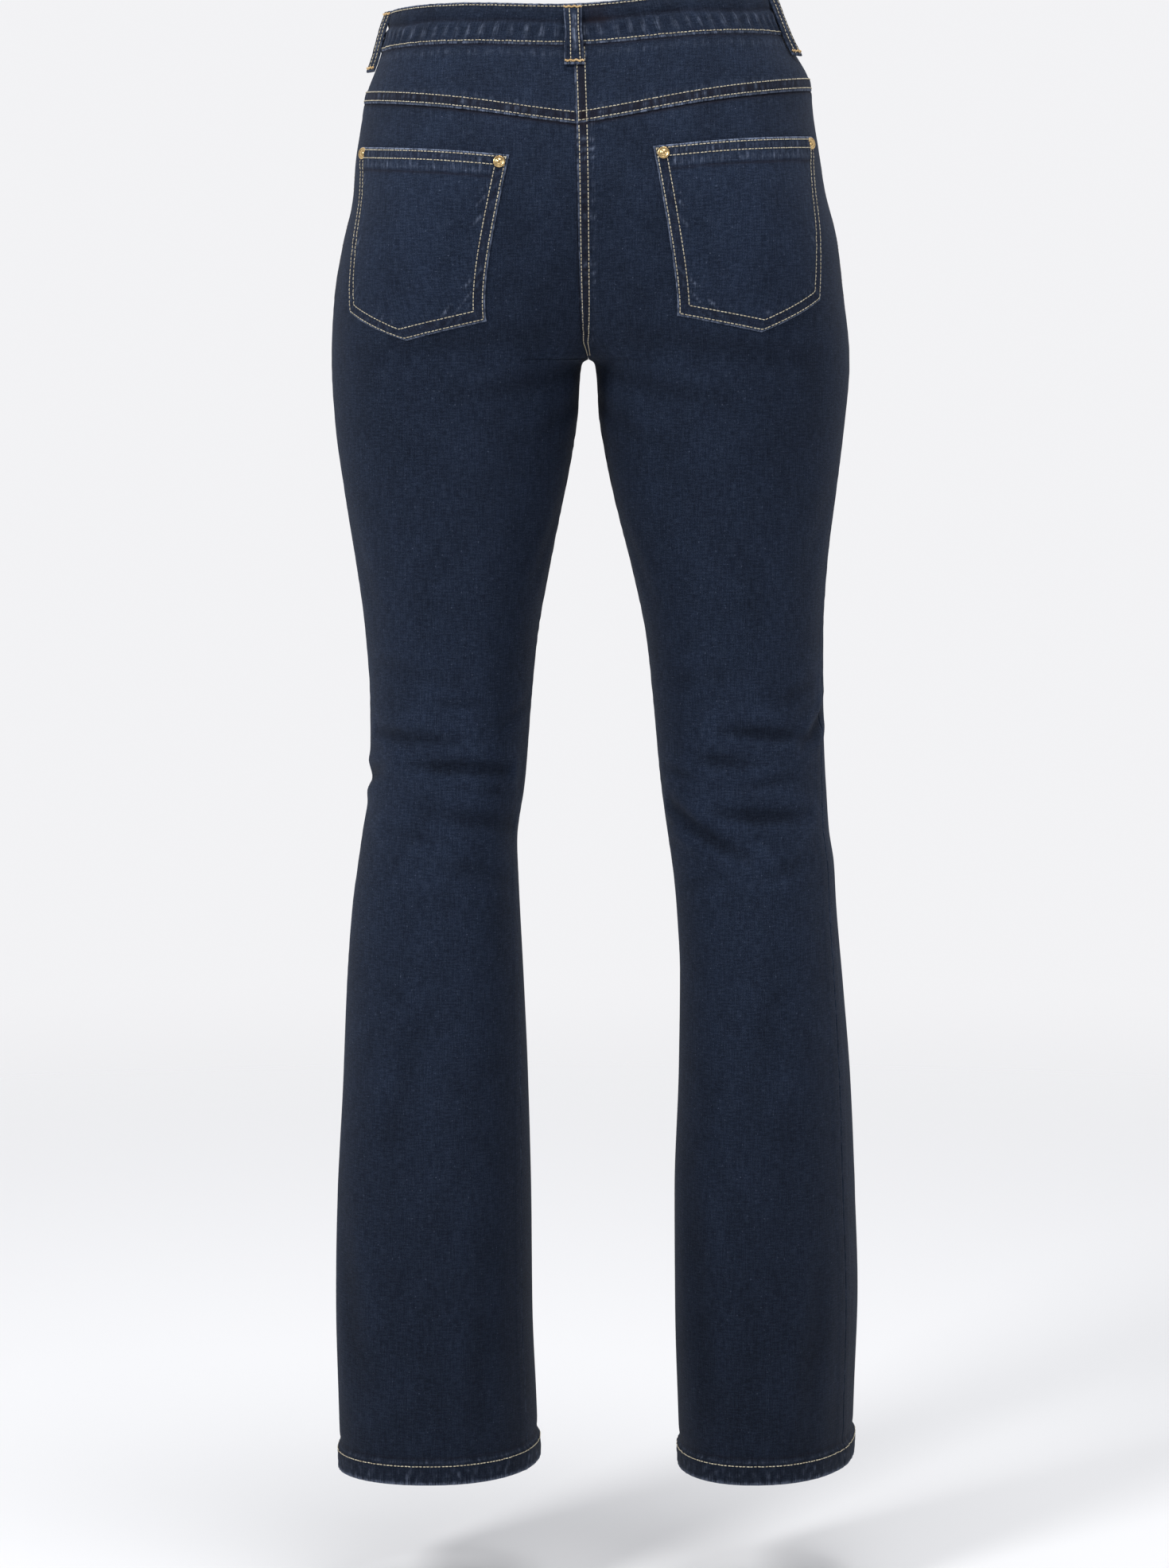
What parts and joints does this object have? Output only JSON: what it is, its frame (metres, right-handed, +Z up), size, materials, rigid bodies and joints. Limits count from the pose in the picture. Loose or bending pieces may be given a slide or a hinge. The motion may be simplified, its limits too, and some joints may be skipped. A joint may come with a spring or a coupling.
{
  "type": "bootcut jeans",
  "caption": "Worn bootcut jeans in dark indigo denim: fitted waist and seat, slim knee, flared hem, V yoke, back patch pockets, belt loops.",
  "frame": {"origin": "middle of the waistband, inside the ring where the wearer's waist holds it", "axes": "+Z up, +Y toward the back of the garment, +X toward the wearer's left"},
  "size_m": [0.3836, 0.2484, 1.066],
  "materials": {
    "indigo_denim": "matte",
    "pocket_denim": "matte",
    "brass": "polished"
  },
  "bodies": {
    "root": {"back_left": "indigo_denim", "back_right": "indigo_denim", "yoke_left": "indigo_denim", "yoke_right": "indigo_denim", "front_left": "indigo_denim", "front_right": "indigo_denim", "pocket_bearer_left": "indigo_denim", "pocket_bearer_right": "indigo_denim", "fly_placket": "indigo_denim", "waistband": "indigo_denim", "belt_loop_back": "indigo_denim", "belt_loop_side_left": "indigo_denim", "belt_loop_side_right": "indigo_denim", "belt_loop_front_left": "indigo_denim", "belt_loop_front_right": "indigo_denim", "back_pocket_left": "pocket_denim", "back_pocket_right": "pocket_denim", "rivet_left_inner": "brass", "rivet_left_outer": "brass", "rivet_right_inner": "brass", "rivet_right_outer": "brass", "waist_button": "brass"}
  },
  "joints": []
}
